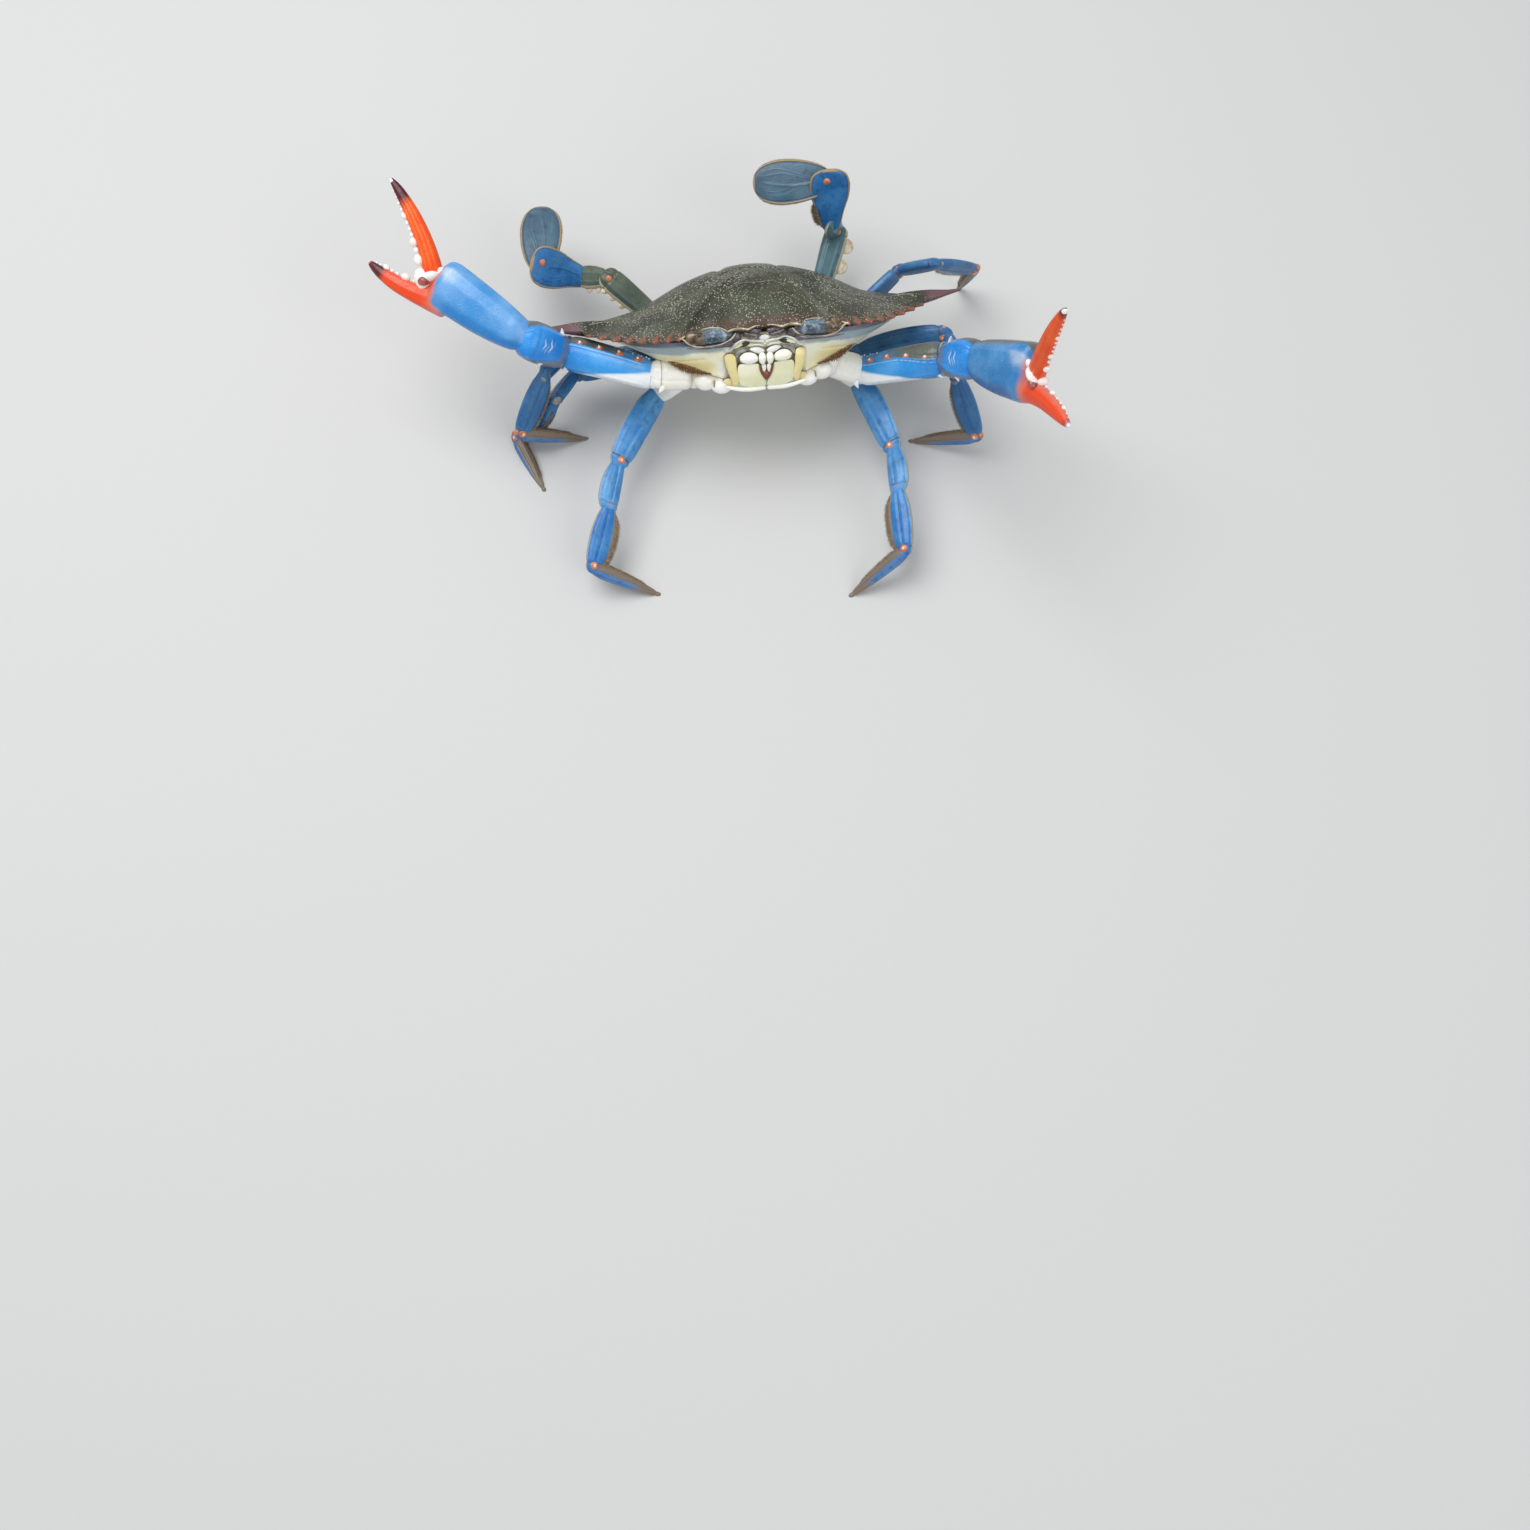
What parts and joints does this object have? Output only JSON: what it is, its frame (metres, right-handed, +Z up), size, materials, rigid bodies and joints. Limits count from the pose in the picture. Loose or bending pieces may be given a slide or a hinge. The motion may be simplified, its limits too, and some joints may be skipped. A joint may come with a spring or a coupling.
{
  "type": "blue crab",
  "caption": "Blue crab rearing up in its threat display, claws spread and open, standing on its walking legs' tips, paddle legs raised behind.",
  "frame": {"origin": "centre of the bounding box, on the floor under the crab", "axes": "+Z up, +X to the crab's own left, the crab faces -Y"},
  "size_m": [0.2251, 0.1592, 0.1225],
  "materials": {
    "carapace_shell": "granular, low sheen",
    "pale_shell": "smooth satin",
    "eye_cornea": "wet gloss",
    "antenna": "satin",
    "claw_shell": "smooth satin, finely granular outer face",
    "claw_finger_shell": "smooth satin",
    "leg_shell": "satin",
    "paddle_shell": "satin"
  },
  "bodies": {
    "root": {"antenna_left": "antenna", "antenna_right": "antenna", "apron": "pale_shell", "carapace": "carapace_shell", "claw_left_carpus": "claw_shell", "claw_left_finger": "claw_finger_shell", "claw_left_ischium": "pale_shell", "claw_left_merus": "claw_shell", "claw_left_palm": "claw_shell", "claw_right_carpus": "claw_shell", "claw_right_finger": "claw_finger_shell", "claw_right_ischium": "pale_shell", "claw_right_merus": "claw_shell", "claw_right_palm": "claw_shell", "eye_left": "eye_cornea", "eye_right": "eye_cornea", "leg_1_left_carpus": "leg_shell", "leg_1_left_dactyl": "leg_shell", "leg_1_left_ischium": "leg_shell", "leg_1_left_merus": "leg_shell", "leg_1_left_propodus": "leg_shell", "leg_1_right_carpus": "leg_shell", "leg_1_right_dactyl": "leg_shell", "leg_1_right_ischium": "leg_shell", "leg_1_right_merus": "leg_shell", "leg_1_right_propodus": "leg_shell", "leg_2_left_carpus": "leg_shell", "leg_2_left_dactyl": "leg_shell", "leg_2_left_ischium": "leg_shell", "leg_2_left_merus": "leg_shell", "leg_2_left_propodus": "leg_shell", "leg_2_right_carpus": "leg_shell", "leg_2_right_dactyl": "leg_shell", "leg_2_right_ischium": "leg_shell", "leg_2_right_merus": "leg_shell", "leg_2_right_propodus": "leg_shell", "leg_3_left_carpus": "leg_shell", "leg_3_left_dactyl": "leg_shell", "leg_3_left_ischium": "leg_shell", "leg_3_left_merus": "leg_shell", "leg_3_left_propodus": "leg_shell", "leg_3_right_carpus": "leg_shell", "leg_3_right_dactyl": "leg_shell", "leg_3_right_ischium": "leg_shell", "leg_3_right_merus": "leg_shell", "leg_3_right_propodus": "leg_shell", "maxilliped_left": "pale_shell", "maxilliped_right": "pale_shell", "paddle_left_carpus": "paddle_shell", "paddle_left_dactyl": "paddle_shell", "paddle_left_ischium": "paddle_shell", "paddle_left_merus": "paddle_shell", "paddle_left_propodus": "paddle_shell", "paddle_right_carpus": "paddle_shell", "paddle_right_dactyl": "paddle_shell", "paddle_right_ischium": "paddle_shell", "paddle_right_merus": "paddle_shell", "paddle_right_propodus": "paddle_shell", "underbody": "pale_shell"}
  },
  "joints": []
}
